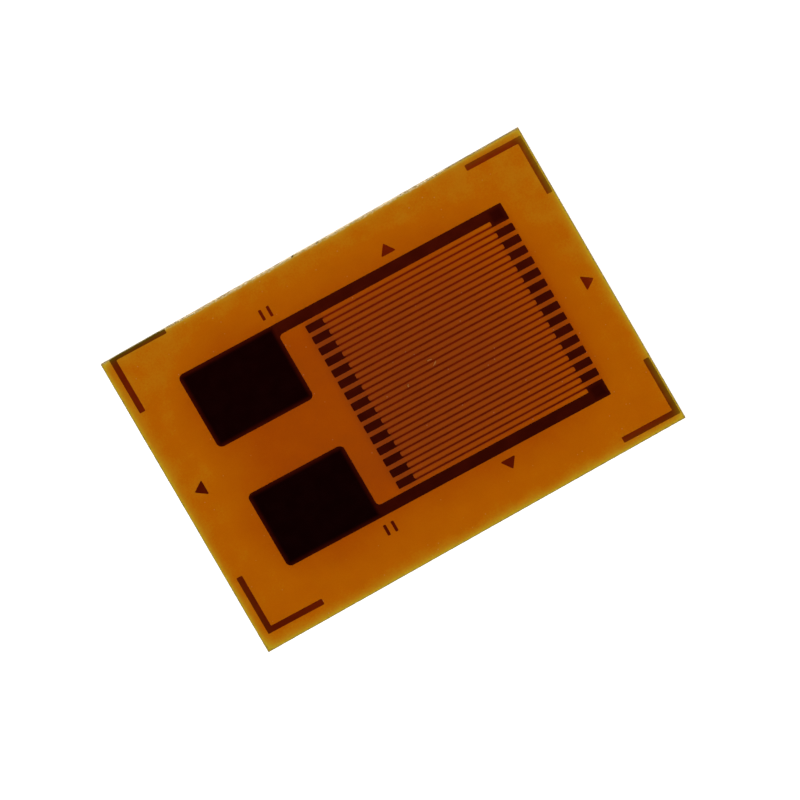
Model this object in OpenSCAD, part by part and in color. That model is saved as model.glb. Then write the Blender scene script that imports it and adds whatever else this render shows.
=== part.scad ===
// Bonded foil strain gauge: a serpentine resistor etched out of alloy foil on an amber carrier film.
// Millimetres. The origin is where the centre lines of the four arrows cross, on the underside that is glued
// to the workpiece. +X is the measuring axis, from the solder tabs to the far end, and +Z points up.

/* [Backing film] */
// Length of the film, along the grid
film_l = 7.43; // [7.36:0.01:9]
// Width of the film, at the middle of its length
film_w = 5.28; // [5.1:0.01:7]
// Middle of the film along X, from the arrows' crossing
film_shift_x = -1.01; // [-1.05:0.01:-0.95]
// Middle of the film along Y, from the arrows' crossing
film_shift_y = -0.07; // [-0.08:0.005:0.06]
// Turn of the upper knife cut from the grid's axis, in degrees
upper_cut_turn = 1.3; // [-2:0.05:2]
// Turn of the lower knife cut from the grid's axis, in degrees
lower_cut_turn = 1.15; // [-2:0.05:2]
// Thickness of the film
film_t = 0.05; // [0.02:0.005:0.08]

/* [Measuring grid] */
// Thickness of the foil
foil_t = 0.005; // [0.003:0.001:0.008]
// Number of grid lines, an even number
line_n = 30; // [10:2:30]
// Distance from line to line
line_pitch = 0.1016; // [0.08:0.0002:0.1016]
// Width of a line
line_w = 0.029; // [0.02:0.001:0.05]
// Active length of the grid, between the end loops
grid_l = 3; // [2:0.05:3]
// Length of an end loop, along the grid
loop_l = 0.29; // [0.1:0.01:0.3]
// Middle of the active length, from the arrows' crossing
grid_shift = 0.1; // [0:0.01:0.15]

/* [Leads and solder tabs] */
// Width of a lead
lead_w = 0.19; // [0.18:0.01:0.22]
// Clear gap between a lead and the outermost line
lead_gap = 0.07; // [0.05:0.01:0.1]
// Length of a solder tab, along the grid
tab_l = 1.68; // [1:0.02:1.8]
// Width of a solder tab, across the grid
tab_w = 1.32; // [0.4:0.02:1.4]
// Clear gap between the tabs and the end loops
tab_gap = 0.42; // [0.3:0.01:0.5]
// Radius of a tab's corners
tab_r = 0.09; // [0.02:0.01:0.09]
// Radius of the fillet where a lead leaves its tab
tab_fillet_r = 0.07; // [0.02:0.01:0.1]

/* [Marks] */
// Clear gap between the leads and the row of arrows and ticks beside them
mark_gap = 0.125; // [0.1:0.005:0.2]
// Height of an arrow, from its base to its point
arrow_h = 0.185; // [0.1:0.005:0.2]
// Width of an arrow's base
arrow_w = 0.26; // [0.15:0.01:0.3]
// Distance of the tab end's arrow, at its base, from the arrows' crossing
arrow_tab_x = 4.28; // [4.1:0.01:4.3]
// Distance of the far end's arrow, at its base, from the arrows' crossing
arrow_far_x = 2.375; // [2.1:0.005:2.38]
// Width of a tick
tick_w = 0.05; // [0.02:0.005:0.06]
// Distance from tick to tick in a pair
tick_pitch = 0.135; // [0.1:0.005:0.2]
// Length of the frame that the trim marks stand at the corners of
trim_l = 7.26; // [7:0.01:7.3]
// Width of that frame
trim_w = 5.06; // [4.9:0.01:5.1]
// Middle of that frame along X, from the arrows' crossing
trim_shift = -0.95; // [-1:0.01:-0.9]
// Length of a trim mark's arm along X
trim_arm_x = 0.99; // [0.4:0.01:1]
// Length of a trim mark's arm along Y
trim_arm_y = 1.02; // [0.4:0.01:1.1]
// Width of a trim mark's arms
trim_arm_w = 0.1; // [0.08:0.01:0.12]

/* [Hidden] */
$fn = 48;
// the grid: the places along X of the loops' inner edges, and across it of the outermost line
grid_tab_x = grid_shift - grid_l / 2;
grid_far_x = grid_shift + grid_l / 2;
outer_line_y = (line_n - 1) / 2 * line_pitch;
loop_w = line_pitch + line_w;
// the leads' inner and outer edges, the tabs' inner end and the row of marks beside the leads
lead_in_y = outer_line_y + line_w / 2 + lead_gap;
lead_out_y = lead_in_y + lead_w;
tab_end_x = grid_tab_x - loop_l - tab_gap;
mark_y = lead_out_y + mark_gap;
// how far a fillet's web reaches into the foil that it joins
web_lap = 0.02;

UPPER = 1;
LOWER = -1;
TAB_END = -1;
FAR_END = 1;
SIDES = [["upper", UPPER], ["lower", LOWER]];
ENDS = [["tab", TAB_END], ["far", FAR_END]];

TRIM_MARKS = [for (e = ENDS, s = SIDES) [str("trim_mark_", e[0], "_", s[0]), e[1], s[1]]];
SIDE_ARROWS = [for (s = SIDES) [str("axis_arrow_", s[0]), s[1]]];
END_ARROWS = [for (e = ENDS) [str("axis_arrow_", e[0], "_end"), e[1]]];
TAB_TICKS = [for (s = SIDES, e = ENDS) [str("tab_tick_", s[0], "_", e[0]), s[1], e[1]]];

// Height of a knife cut at a place along X: it passes mid at the film's middle, turned from the grid's axis.
function cut_y(x, mid, turn) = mid + (x - film_shift_x) * tan(turn);

// Place across the grid of a line, counted from the upper lead down.
function line_y(i) = outer_line_y - i * line_pitch;

// The film's outline: square ends, and two long cuts that aren't quite parallel to the grid.
module film_outline() {
    x_tab = film_shift_x - film_l / 2;
    x_far = film_shift_x + film_l / 2;
    upper = film_shift_y + film_w / 2;
    lower = film_shift_y - film_w / 2;
    polygon([
        [x_tab, cut_y(x_tab, lower, lower_cut_turn)],
        [x_far, cut_y(x_far, lower, lower_cut_turn)],
        [x_far, cut_y(x_far, upper, upper_cut_turn)],
        [x_tab, cut_y(x_tab, upper, upper_cut_turn)]
    ]);
}

// A rectangle from the origin to [l, w], with round corners.
module rounded_rect(l, w, r) {
    translate([r, 0]) square([l - 2 * r, w]);
    translate([0, r]) square([l, w - 2 * r]);
    for (x = [r, l - r], y = [r, w - r])
        translate([x, y]) circle(r);
}

// The web that fills an inner corner at the origin, open towards +X and -Y.
module corner_fillet(r) {
    difference() {
        translate([-web_lap, -r]) square([r + web_lap, r + web_lap]);
        translate([r, -r]) circle(r);
    }
}

// The solder tab and the lead of the upper side: the lead runs flush with the tab's outer edge to the far end,
// where a corner block turns it back into the outermost line.
module tab_and_lead() {
    lead_from_x = tab_end_x - 2 * tab_r;
    far_x = grid_far_x + loop_l;
    block_y = outer_line_y - line_w / 2;
    translate([tab_end_x - tab_l, lead_out_y - tab_w]) rounded_rect(tab_l, tab_w, tab_r);
    translate([lead_from_x, lead_in_y]) square([far_x - lead_from_x, lead_w]);
    translate([tab_end_x, lead_in_y]) corner_fillet(tab_fillet_r);
    translate([grid_far_x, block_y]) square([loop_l, lead_out_y - block_y]);
}

// The grid lines and the loops that join them end to end into one serpentine.
module serpentine() {
    for (i = [0:line_n - 1])
        translate([grid_tab_x - loop_l / 2, line_y(i) - line_w / 2]) square([grid_l + loop_l, line_w]);
    for (i = [0:line_n - 2]) {
        x = i % 2 == 0 ? grid_tab_x - loop_l : grid_far_x;
        translate([x, line_y(i + 1) - line_w / 2]) square([loop_l, loop_w]);
    }
}

// A corner angle at an end and a side, cut off where the knife went through it.
module trim_outline(end, side) {
    intersection() {
        translate([trim_shift + end * trim_l / 2, side * trim_w / 2])
            mirror([end > 0 ? 1 : 0, 0]) mirror([0, side > 0 ? 1 : 0]) {
                square([trim_arm_x, trim_arm_w]);
                square([trim_arm_w, trim_arm_y]);
            }
        film_outline();
    }
}

// An arrow with the middle of its base at the origin, pointing to +Y.
module arrow_outline() {
    polygon([[-arrow_w / 2, 0], [arrow_w / 2, 0], [0, arrow_h]]);
}

// A piece of the foil layer, etched to an outline.
module etched() {
    translate([0, 0, film_t]) linear_extrude(foil_t) children();
}

module backing_film() {
    color([0.67, 0.37, 0.02]) linear_extrude(film_t) film_outline();
}

// The resistor, one piece of foil: the serpentine between its two tabs.
module measuring_foil() {
    color([0.12, 0.06, 0.04]) etched() {
        serpentine();
        tab_and_lead();
        mirror([0, 1]) tab_and_lead();
    }
}

module trim_mark(end, side) {
    color([0.37, 0.13, 0.03]) etched() trim_outline(end, side);
}

module side_arrow(side) {
    color([0.37, 0.13, 0.03]) etched()
        rotate(side > 0 ? 0 : 180) translate([0, mark_y]) arrow_outline();
}

module end_arrow(end) {
    color([0.37, 0.13, 0.03]) etched()
        rotate(-90 * end) translate([0, end > 0 ? arrow_far_x : arrow_tab_x]) arrow_outline();
}

// A tick of the pair that straddles the tabs' inner end, as long as an arrow is high.
module tab_tick(side, end) {
    color([0.37, 0.13, 0.03]) etched()
        translate([tab_end_x + end * tick_pitch / 2 - tick_w / 2, side > 0 ? mark_y : -mark_y - arrow_h])
            square([tick_w, arrow_h]);
}

backing_film();
measuring_foil();
for (m = TRIM_MARKS)
    trim_mark(m[1], m[2]);
for (m = SIDE_ARROWS)
    side_arrow(m[1]);
for (m = END_ARROWS)
    end_arrow(m[1]);
for (m = TAB_TICKS)
    tab_tick(m[1], m[2]);
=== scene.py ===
"""Looks of a bonded foil strain gauge: an amber film that carries an etched foil resistor and its marks.

Lengths are in metres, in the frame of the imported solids: +X runs along the measuring axis from the solder
tabs to the far end, +Z points up, and the film's underside is at zero.
"""

import logging
import math
from abc import ABC, abstractmethod
from collections.abc import Sequence
from dataclasses import dataclass, field
from enum import Enum
from itertools import chain

import bpy
import numpy as np
from mathutils import Matrix, Vector


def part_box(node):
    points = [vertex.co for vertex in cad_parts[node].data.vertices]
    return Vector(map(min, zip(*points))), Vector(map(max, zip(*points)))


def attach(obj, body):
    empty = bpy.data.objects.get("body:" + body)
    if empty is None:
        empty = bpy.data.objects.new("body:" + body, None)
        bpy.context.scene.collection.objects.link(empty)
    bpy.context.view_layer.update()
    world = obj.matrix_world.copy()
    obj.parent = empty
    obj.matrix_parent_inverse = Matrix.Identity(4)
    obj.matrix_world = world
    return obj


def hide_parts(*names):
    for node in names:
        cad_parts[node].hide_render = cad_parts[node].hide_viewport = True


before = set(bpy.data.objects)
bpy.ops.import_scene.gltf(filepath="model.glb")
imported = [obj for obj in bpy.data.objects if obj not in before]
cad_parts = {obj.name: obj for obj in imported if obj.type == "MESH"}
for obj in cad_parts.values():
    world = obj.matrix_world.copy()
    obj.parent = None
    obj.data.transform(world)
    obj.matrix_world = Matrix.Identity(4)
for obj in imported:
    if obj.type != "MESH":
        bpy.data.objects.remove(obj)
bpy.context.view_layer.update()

MM = 1e-3
MICRON = 1e-6
BODY = "root"
LOG = logging.getLogger("strain_gauge")

Colour = tuple[float, float, float]
Span = tuple[float, float]
Socket = bpy.types.NodeSocket
Feed = Socket | float | Sequence[float]


class Slot(Enum):
    """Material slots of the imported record."""

    FILM = "amber_film"
    RESISTOR = "resistor_foil"
    MARK = "mark_foil"


class Cut(Enum):
    """The four cut sides of the film, as the heading from the film's middle to the side."""

    TAB_END = (-1.0, 0.0)
    FAR_END = (1.0, 0.0)
    LOWER = (0.0, -1.0)
    UPPER = (0.0, 1.0)


def soft_step(distance: np.ndarray, reach: float) -> np.ndarray:
    """Rise from 0 far below zero to 1 far above it, along a hyperbolic tangent.

    Args:
        distance: Signed distances.
        reach: Distance over which most of the rise happens.

    Returns:
        The step's height at each distance.
    """
    return 0.5 * (1.0 + np.tanh(distance / reach))


def ripple(x: np.ndarray, y: np.ndarray, length: float, seed: int, waves: int = 7) -> np.ndarray:
    """Smooth unevenness, mostly between -1 and 1: a sum of plane waves with seeded headings and phases.

    Args:
        x: Places along X.
        y: Places along Y.
        length: Middle wavelength of the waves.
        seed: Seed of the headings, phases and wavelengths.
        waves: Number of waves.

    Returns:
        The unevenness at each place.
    """
    shortest, longest = 0.6, 1.6
    draw = np.random.default_rng(seed)
    heading = draw.uniform(0.0, 2.0 * np.pi, waves)
    phase = draw.uniform(0.0, 2.0 * np.pi, waves)
    number = 2.0 * np.pi / (length * draw.uniform(shortest, longest, waves))
    run = x[..., None] * np.cos(heading) + y[..., None] * np.sin(heading)
    return np.sin(run * number + phase).sum(axis=-1) / math.sqrt(waves)


def ring_quads(rings: int, around: int, start: int = 0) -> np.ndarray:
    """Quads between neighbouring closed rings of vertices, which are numbered ring after ring.

    Args:
        rings: Number of rings.
        around: Vertices in a ring.
        start: Number of the first vertex.

    Returns:
        One row of four vertex numbers for each quad, facing outwards for rings that rise counter-clockwise.
    """
    ring = np.arange(rings - 1)[:, None] * around
    here = np.arange(around)[None, :]
    after = (here + 1) % around
    quads = np.stack((ring + here, ring + after, ring + around + after, ring + around + here), axis=-1)
    return start + quads.reshape(-1, 4)


def tube_faces(rings: int, around: int, start: int = 0) -> tuple[np.ndarray, np.ndarray]:
    """Faces of a tube of rings that run counter-clockwise seen from its far end, with a cap at both ends.

    Args:
        rings: Number of rings.
        around: Vertices in a ring.
        start: Number of the first vertex.

    Returns:
        The quads round the tube, and its two caps.
    """
    near = np.arange(around)[None] + start
    far = near + (rings - 1) * around
    return ring_quads(rings, around, start), np.concatenate((near[:, ::-1], far))


def mesh_piece(name: str, points: np.ndarray, faces: Sequence[np.ndarray]) -> bpy.types.Object:
    """Make an object at the origin out of arrays of points and faces.

    Args:
        name: Name of the piece.
        points: One row of x, y and z for each vertex.
        faces: Arrays of faces, each with one row of vertex numbers for a face.

    Returns:
        The new object, linked to the scene.
    """
    mesh = bpy.data.meshes.new(name)
    mesh.from_pydata(points.tolist(), [], list(chain.from_iterable(group.tolist() for group in faces)))
    mesh.validate()
    piece = bpy.data.objects.new(name, mesh)
    bpy.context.scene.collection.objects.link(piece)
    return piece


def hold(piece: bpy.types.Object, name: str, values: np.ndarray) -> None:
    """Store a number at each vertex of a piece, for its material to read.

    Args:
        piece: The piece.
        name: Name that the numbers are held under.
        values: One number for each vertex.
    """
    attribute = piece.data.attributes.new(name, "FLOAT", "POINT")
    attribute.data.foreach_set("value", values.ravel().astype(np.float32))


def smooth(piece: bpy.types.Object, count: int | None = None) -> None:
    """Shade the faces of a piece smoothly.

    Args:
        piece: The piece.
        count: Number of faces to shade smoothly, counted from the first one; all of them where it is None.
    """
    total = len(piece.data.polygons)
    piece.data.polygons.foreach_set("use_smooth", np.arange(total) < (total if count is None else count))


def dress(piece: bpy.types.Object, material: bpy.types.Material, slot: Slot, *nodes: str) -> None:
    """Give a piece its material and tie it to the frame.

    Args:
        piece: The finished piece.
        material: Its material.
        slot: Slot of the record that the finish belongs to; not used.
        nodes: Names of the solids that the piece stands for.
    """
    piece.data.materials.append(material)
    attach(piece, BODY)
    if nodes:
        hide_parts(*nodes)
    stands_for = ", ".join(nodes) or "no solid"
    LOG.info("%s: %d faces, stands for %s", piece.name, len(piece.data.polygons), stands_for)


@dataclass(frozen=True)
class Outline:
    """Closed outline of a flat piece, counter-clockwise seen from above.

    Attributes:
        points: Corners in order, one row of x and y each.
        low: Height of the piece's underside.
        high: Height of its upper face.
    """

    points: np.ndarray
    low: float
    high: float

    @classmethod
    def of_node(cls, node: str) -> "Outline":
        """Read an outline off the upper face of a solid.

        An edge of the upper face's triangles lies on the border if no neighbour runs along it the other way.
        Each border corner then has one next corner. The number of steps from a corner to the last one,
        counted by doubling the stride until it spans the border, puts the corners in order.

        Args:
            node: Name of the solid.

        Returns:
            The outline of the solid's upper face.
        """
        grid = 0.1 * MICRON
        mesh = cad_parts[node].data
        places = np.empty(len(mesh.vertices) * 3, np.float32)
        mesh.vertices.foreach_get("co", places)
        corners = np.empty(len(mesh.loops), np.int32)
        mesh.loops.foreach_get("vertex_index", corners)
        steps = np.rint(places.reshape(-1, 3) / grid).astype(np.int64)
        keys, same = np.unique(steps, axis=0, return_inverse=True)
        triangles = same.reshape(-1)[corners].reshape(-1, 3)
        triangles = triangles[(keys[triangles, 2] == keys[:, 2].max()).all(axis=1)]
        edges = np.stack((triangles, np.roll(triangles, -1, axis=1)), axis=-1).reshape(-1, 2)
        inner = np.isin(edges @ (len(keys), 1), edges @ (1, len(keys)))
        begin, end = edges[~inner].T
        following = np.full(len(keys), begin[0])
        following[begin] = end
        left = np.where(following == begin[0], 0, 1)
        stride = np.where(following == begin[0], np.arange(len(keys)), following)
        for _ in range(math.ceil(math.log2(len(begin))) + 1):
            left = left + left[stride]
            stride = stride[stride]
        ordered = begin[np.argsort(-left[begin])]
        heights = keys[:, 2] * grid
        return cls(keys[ordered, :2] * grid, heights.min(), heights.max())

    def corner(self, heading: Sequence[float]) -> np.ndarray:
        """Point of the outline that reaches furthest along a heading."""
        return self.points[np.argmax(self.points @ np.asarray(heading))]

    def edge_normals(self) -> np.ndarray:
        """Work out the direction out of the outline, square to each edge from a point to the next one.

        Returns:
            One row of unit length for each edge.
        """
        ahead = np.roll(self.points, -1, axis=0) - self.points
        ahead /= np.linalg.norm(ahead, axis=1, keepdims=True)
        return np.stack((ahead[:, 1], -ahead[:, 0]), axis=1)

    def side(self, heading: Sequence[float]) -> "Side":
        """Pick out the edge that faces a heading.

        Args:
            heading: The heading.

        Returns:
            The edge's line.
        """
        outward = self.edge_normals()
        edge = np.argmax(outward @ np.asarray(heading))
        return Side(tuple(outward[edge].tolist()), float(self.points[edge] @ outward[edge]))

    def turns(self) -> np.ndarray:
        """Work out the turn of the outline at each point, in radians, positive to the left.

        Returns:
            The turns.
        """
        before = self.points - np.roll(self.points, 1, axis=0)
        after = np.roll(before, -1, axis=0)
        cross = before[:, 0] * after[:, 1] - before[:, 1] * after[:, 0]
        return np.arctan2(cross, (before * after).sum(axis=1))

    def rounded(self, radius: float, arc_turn: float = math.radians(50.0), steps: int = 6) -> "Outline":
        """Round the corners off, as etching does.

        Points on a straight run go first. Each corner then becomes a parabola from a point one tangent length
        before it to a point as far behind it. The tangent length is the radius times the tangent of half the
        turn. Where the turn is small, the corner belongs to a coarse arc, and half of the shorter edge beside
        it is taken instead, so that the arc comes out smooth.

        Args:
            radius: Radius of a rounded corner.
            arc_turn: Largest turn, in radians, of a corner that belongs to a coarse arc.
            steps: Number of points on a rounded corner.

        Returns:
            The rounded outline.
        """
        straight = math.radians(0.2)
        room_share = 0.49
        bent = Outline(self.points[np.abs(self.turns()) > straight], self.low, self.high)
        turn = np.abs(bent.turns())
        back = np.roll(bent.points, 1, axis=0) - bent.points
        ahead = np.roll(bent.points, -1, axis=0) - bent.points
        back_l = np.linalg.norm(back, axis=1)
        ahead_l = np.linalg.norm(ahead, axis=1)
        room = room_share * np.minimum(back_l, ahead_l)
        tangent = np.where(turn < arc_turn, room, np.minimum(room, radius * np.tan(turn / 2.0)))
        first = bent.points + back * (tangent / back_l)[:, None]
        last = bent.points + ahead * (tangent / ahead_l)[:, None]
        t = np.linspace(0.0, 1.0, steps)[None, :, None]
        curve = (1 - t) ** 2 * first[:, None] + 2 * t * (1 - t) * bent.points[:, None] + t**2 * last[:, None]
        return Outline(curve.reshape(-1, 2), self.low, self.high)

    def inward(self) -> np.ndarray:
        """Work out the step at each point that moves both edges beside it inwards by one unit of length.

        Returns:
            The steps, one row of x and y each.
        """
        normal = -self.edge_normals()
        before = np.roll(normal, 1, axis=0)
        return (normal + before) / (1.0 + (normal * before).sum(axis=1, keepdims=True))


@dataclass(frozen=True)
class Side:
    """Straight side of an outline, seen from above.

    Attributes:
        outward: Direction out of the outline, square to the side.
        reach: Distance of the side from the origin in that direction.
    """

    outward: Span
    reach: float

    def inside(self, places: np.ndarray) -> np.ndarray:
        """Distance of places from the side, positive inside the outline."""
        return self.reach - places @ np.asarray(self.outward)


@dataclass(frozen=True)
class FoilPart:
    """Rectangle of the foil pattern, and the share of it that keeps light from the ground."""

    x0: float
    x1: float
    y0: float
    y1: float
    share: float = 1.0

    def middle(self) -> Span:
        """Middle of the rectangle."""
        return (self.x0 + self.x1) / 2.0, (self.y0 + self.y1) / 2.0

    def half(self) -> Span:
        """Half of its length and width."""
        return (self.x1 - self.x0) / 2.0, (self.y1 - self.y0) / 2.0


@dataclass(frozen=True)
class FoilPlan:
    """Where the parts of the measuring foil lie, worked out from the solid's box.

    Attributes:
        tab_l: Length of a solder tab.
        tab_w: Width of a solder tab.
        lead_w: Width of a lead.
        tab_gap: Clear gap between the tabs and the end loops.
        loop_l: Length of an end loop.
        block_w: Width of the corner block that joins a lead to the outermost line.
        pitch: Distance from grid line to grid line.
        grid_share: Share of the light that the grid keeps from the ground under it.
        low: Lowest corner of the solid's box.
        high: Its highest corner.
    """

    tab_l: float = 1.68 * MM
    tab_w: float = 1.32 * MM
    lead_w: float = 0.19 * MM
    tab_gap: float = 0.42 * MM
    loop_l: float = 0.29 * MM
    block_w: float = 0.289 * MM
    pitch: float = 0.1016 * MM
    grid_share: float = 0.62
    low: Vector = field(default_factory=lambda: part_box("measuring_foil")[0])
    high: Vector = field(default_factory=lambda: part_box("measuring_foil")[1])

    def upper_tab(self) -> FoilPart:
        """The solder tab of the upper side."""
        return FoilPart(self.low.x, self.low.x + self.tab_l, self.high.y - self.tab_w, self.high.y)

    def upper_lead(self) -> FoilPart:
        """The lead of the upper side, from the tab to the far end."""
        return FoilPart(self.low.x + self.tab_l, self.high.x, self.high.y - self.lead_w, self.high.y)

    def upper_block(self) -> FoilPart:
        """The corner block at the far end of the upper side's lead."""
        return FoilPart(self.high.x - self.loop_l, self.high.x, self.high.y - self.block_w, self.high.y)

    def grid(self) -> FoilPart:
        """The grid and its loops, between the leads."""
        lead = self.upper_lead()
        return FoilPart(lead.x0 + self.tab_gap, lead.x1, -lead.y0, lead.y0, self.grid_share)

    def lines(self) -> FoilPart:
        """The stretch of the grid between the loops."""
        grid = self.grid()
        return FoilPart(grid.x0 + self.loop_l, grid.x1 - self.loop_l, grid.y0, grid.y1)

    def loops(self) -> tuple[FoilPart, FoilPart]:
        """The two rows of end loops."""
        grid, lines = self.grid(), self.lines()
        return FoilPart(grid.x0, lines.x0, grid.y0, grid.y1), FoilPart(lines.x1, grid.x1, grid.y0, grid.y1)

    def parts(self) -> tuple[FoilPart, ...]:
        """List the tabs, the leads and the grid.

        Returns:
            The upper side's parts, their mirror images, and the grid.
        """
        upper = (self.upper_tab(), self.upper_lead())
        lower = tuple(FoilPart(part.x0, part.x1, -part.y1, -part.y0, part.share) for part in upper)
        return (*upper, *lower, self.grid())


class Recipe:
    """A material's node tree, built up node by node."""

    def __init__(self, name: str) -> None:
        """Start a material with nothing but its output.

        Args:
            name: Name of the material.
        """
        self.material = bpy.data.materials.new(name)
        self.material.use_nodes = True
        self.tree = self.material.node_tree
        self.tree.nodes.clear()
        self.output = self.tree.nodes.new("ShaderNodeOutputMaterial")

    def node(self, kind: str, feeds: dict[str | int, Feed], **settings: object) -> bpy.types.Node:
        """Add a node.

        Args:
            kind: Blender's name for the kind of node.
            feeds: What goes into its sockets, by name or number: another node's socket or a constant.
            settings: Values of the node's own properties.

        Returns:
            The new node.
        """
        made = self.tree.nodes.new(kind)
        for key, value in settings.items():
            setattr(made, key, value)
        for key, value in feeds.items():
            if isinstance(value, Socket):
                self.tree.links.new(value, made.inputs[key])
            else:
                made.inputs[key].default_value = value
        return made

    def place(self) -> Socket:
        """Place on the piece, in the frame's own metres."""
        return self.node("ShaderNodeTexCoord", {}).outputs["Object"]

    def value(self, attribute: str) -> Socket:
        """Number that the mesh holds at each vertex under a name."""
        return self.node("ShaderNodeAttribute", {}, attribute_name=attribute).outputs["Fac"]

    def maths(self, operation: str, first: Feed, second: Feed = 0.0) -> Socket:
        """Result of an operation on two numbers."""
        return self.node("ShaderNodeMath", {0: first, 1: second}, operation=operation).outputs[0]

    def spread(self, value: Feed, source: Span, target: Span) -> Socket:
        """Carry a value over from one range to another, along a smooth step.

        Args:
            value: The value.
            source: Range that it comes from.
            target: Range that it goes to.

        Returns:
            The socket of the new value.
        """
        feeds = {0: value, 1: source[0], 2: source[1], 3: target[0], 4: target[1]}
        return self.node("ShaderNodeMapRange", feeds, interpolation_type="SMOOTHSTEP").outputs[0]

    def grain(self, size: float | tuple[float, float, float], detail: float = 3.0) -> Socket:
        """Make cloudy noise from 0 to 1.

        Args:
            size: Size of a spot in metres, or its sizes along X, Y and Z.
            detail: Number of finer layers of noise on top.

        Returns:
            The noise's socket.
        """
        sizes = size if isinstance(size, tuple) else (size, size, size)
        scale = tuple(1.0 / s for s in sizes)
        mapped = self.node("ShaderNodeMapping", {"Vector": self.place(), "Scale": scale}).outputs[0]
        return self.node("ShaderNodeTexNoise", {"Vector": mapped, "Scale": 1.0, "Detail": detail}).outputs[0]

    def shift(self, base: Feed, noise: Socket, gain: float) -> Socket:
        """Shift a number up and down by a noise from 0 to 1, times a gain."""
        centred = self.maths("SUBTRACT", noise, 0.5)
        return self.maths("ADD", base, self.maths("MULTIPLY", centred, gain))

    def specks(self, spacing: float, radius: float) -> Socket:
        """Strew round specks about, one to a cell.

        Args:
            spacing: Size of a cell.
            radius: Radius of a speck.

        Returns:
            A socket that gives 1 inside a speck and 0 outside.
        """
        rim, core = radius / spacing, 0.5 * radius / spacing
        feeds = {"Vector": self.place(), "Scale": 1.0 / spacing}
        far = self.node("ShaderNodeTexVoronoi", feeds).outputs["Distance"]
        return self.spread(far, (core, rim), (1.0, 0.0))

    def inside(self, part: FoilPart, soft: float) -> Socket:
        """Tell a rectangle of the foil and its mirror image across the grid from the rest.

        The distance past an edge is the larger one of those past an end and past a side. Across the grid it
        is taken from the middle line, so that it holds for both sides.

        Args:
            part: The rectangle.
            soft: How far inside its edges the full value is reached.

        Returns:
            A socket that gives 1 well inside the rectangle, falling to 0 at its edges and outside.
        """
        (x, y), (half_l, half_w) = part.middle(), part.half()
        place = self.node("ShaderNodeSeparateXYZ", {0: self.place()})
        along = self.maths("ABSOLUTE", self.maths("SUBTRACT", place.outputs[0], x))
        side = self.maths("ABSOLUTE", place.outputs[1])
        across = self.maths("ABSOLUTE", self.maths("SUBTRACT", side, y))
        past_end = self.maths("SUBTRACT", along, half_l)
        past_side = self.maths("SUBTRACT", across, half_w)
        return self.spread(self.maths("MAXIMUM", past_end, past_side), (-soft, 0.0), (1.0, 0.0))

    def mix(self, share: Feed, first: Feed, second: Feed) -> Socket:
        """Blend two colours by a share of the second one."""
        feeds = {0: share, 6: with_alpha(first), 7: with_alpha(second)}
        return self.node("ShaderNodeMix", feeds, data_type="RGBA").outputs[2]

    def ramp(self, value: Feed, stops: Sequence[tuple[float, Colour]]) -> Socket:
        """Run through colours along a value from 0 to 1, straight between the stops.

        Args:
            value: The value.
            stops: Places from 0 to 1 and their colours.

        Returns:
            The colour's socket.
        """
        made = self.node("ShaderNodeValToRGB", {0: value})
        elements = made.color_ramp.elements
        while len(elements) < len(stops):
            elements.new(1.0)
        for element, (position, colour) in zip(elements, stops):
            element.position = position
            element.color = with_alpha(colour)
        return made.outputs[0]

    def bump(self, height: Socket, depth: float) -> Socket:
        """Normal of a surface that a height from 0 to 1 roughens by a depth in metres."""
        return self.node("ShaderNodeBump", {"Height": height, "Distance": depth}).outputs[0]

    def surface(self, feeds: dict[str | int, Feed]) -> bpy.types.Material:
        """Close the recipe with a surface shader.

        Args:
            feeds: What goes into the shader's sockets.

        Returns:
            The finished material.
        """
        shader = self.node("ShaderNodeBsdfPrincipled", feeds)
        self.tree.links.new(shader.outputs[0], self.output.inputs["Surface"])
        return self.material


def with_alpha(colour: Feed) -> Feed:
    """Add a full alpha to a plain colour, and leave a socket as it is."""
    return colour if isinstance(colour, Socket) else (*colour, 1.0)


class Finish(ABC):
    """A surface finish that can be made into a material."""

    @abstractmethod
    def material(self) -> bpy.types.Material:
        """Make the material."""


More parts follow.
